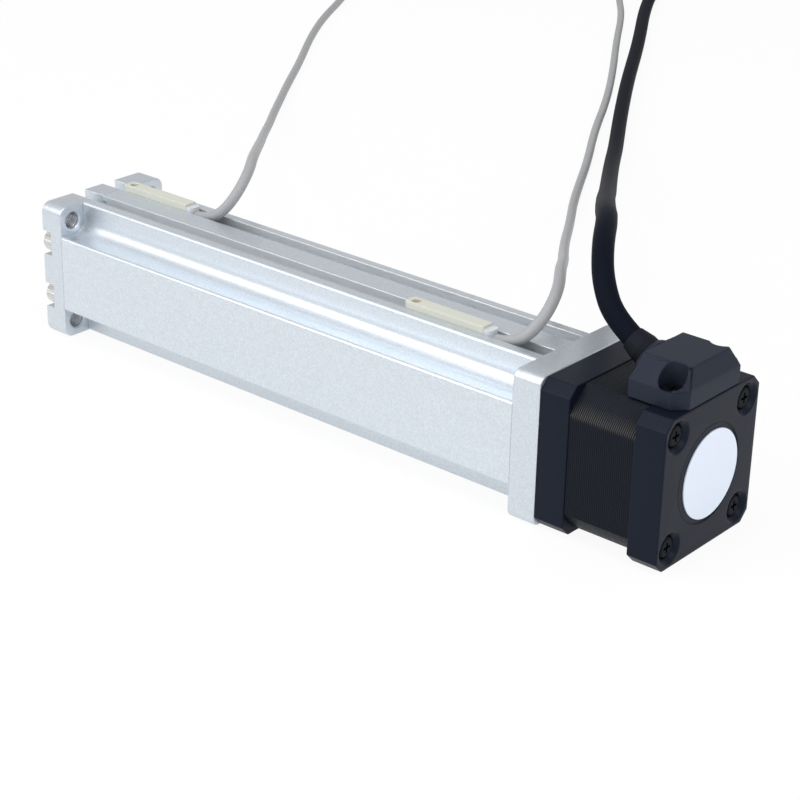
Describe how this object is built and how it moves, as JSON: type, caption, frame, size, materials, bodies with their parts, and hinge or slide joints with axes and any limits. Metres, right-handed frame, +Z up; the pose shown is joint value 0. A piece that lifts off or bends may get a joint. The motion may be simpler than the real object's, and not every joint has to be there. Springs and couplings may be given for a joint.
{
  "type": "electric cylinder",
  "caption": "Compact electric cylinder: stepper motor behind a fluted square aluminium tube, lead screw drive, hollow sliding rod, slot sensors and cables.",
  "frame": {"origin": "middle of the underside of the cylinder, without its cords", "axes": "+X the way the rod extends, +Z up through the sensor slots"},
  "size_m": [0.5012, 0.607, 0.0716],
  "materials": {
    "anodised_tube": "satin anodised",
    "anodised_ends": "satin anodised",
    "screw_steel": "plated",
    "black_steel": "black oxide",
    "bearing_steel": "ground",
    "ground_steel": "hard chromed",
    "bronze": "machined",
    "nylon": "moulded",
    "urethane": "moulded",
    "black_bell": "satin black",
    "lamination": "black laminated steel",
    "winding": "enamelled copper wire",
    "magnet": "bonded magnet",
    "label": "blank printed film",
    "housing_plastic": "moulded",
    "sensor_plastic": "moulded",
    "clear_plastic": "clear moulded",
    "black_cord": "matt jacket",
    "grey_cord": "matt jacket"
  },
  "bodies": {
    "cylinder": {"cylinder_tube": "anodised_tube", "rod_cover": "anodised_ends", "rod_cover_screws": "screw_steel", "rod_bushing": "bronze", "rod_wiper": "urethane", "front_bumper": "urethane", "motor_mount": "anodised_ends", "mount_tube_screws": "black_steel", "motor_flange_screws": "black_steel", "thrust_bearing_outer_rings": "bearing_steel", "bearing_retainer": "anodised_ends", "rear_bumper": "urethane", "motor_front_bell": "black_bell", "stator_stack": "lamination", "stator_windings": "winding", "motor_rear_bell": "black_bell", "motor_tie_screws": "black_steel", "motor_bearing_outer_rings": "bearing_steel", "label_disc": "label", "cable_housing": "housing_plastic", "cable_housing_screws": "black_steel", "cable_grommet": "urethane", "motor_cable": "black_cord", "motor_cable_coil": "black_cord", "motor_cable_tail": "black_cord", "motor_connector": "housing_plastic", "near_sensor_body": "sensor_plastic", "near_sensor_window": "clear_plastic", "near_sensor_screw": "screw_steel", "near_sensor_lead": "grey_cord", "near_sensor_lead_coil": "grey_cord", "far_sensor_body": "sensor_plastic", "far_sensor_window": "clear_plastic", "far_sensor_screw": "screw_steel", "far_sensor_lead": "grey_cord", "far_sensor_lead_coil": "grey_cord"},
    "screw_line": {"lead_screw": "ground_steel", "motor_shaft": "ground_steel", "rotor": "lamination", "coupling_hub_motor": "anodised_ends", "coupling_spider": "urethane", "coupling_hub_screw": "anodised_ends", "thrust_bearing_inner_rings": "bearing_steel", "bearing_lock_nut": "black_steel", "motor_bearing_inner_rings": "bearing_steel", "screw_tip_guide": "nylon"},
    "rod": {"piston": "anodised_ends", "drive_nut": "bronze", "nut_retaining_clip": "black_steel", "magnet_ring": "magnet", "wear_ring": "nylon", "guide_key": "nylon", "piston_rod": "ground_steel", "rod_end_insert": "ground_steel"}
  },
  "joints": [
    {"name": "screw_spin", "type": "hinge", "parent": "cylinder", "child": "screw_line", "pos_m": [0, 0, 0.0213], "axis": [-1, 0, 0], "range_deg": [0, 7200]},
    {"name": "rod_slide", "type": "slide", "parent": "cylinder", "child": "rod", "axis": [1, 0, 0], "range_m": [0, 0.1]}
  ],
  "couplings": [
    {"joint": "screw_spin", "follows": "rod_slide", "rad_per_m": 1256.6}
  ]
}
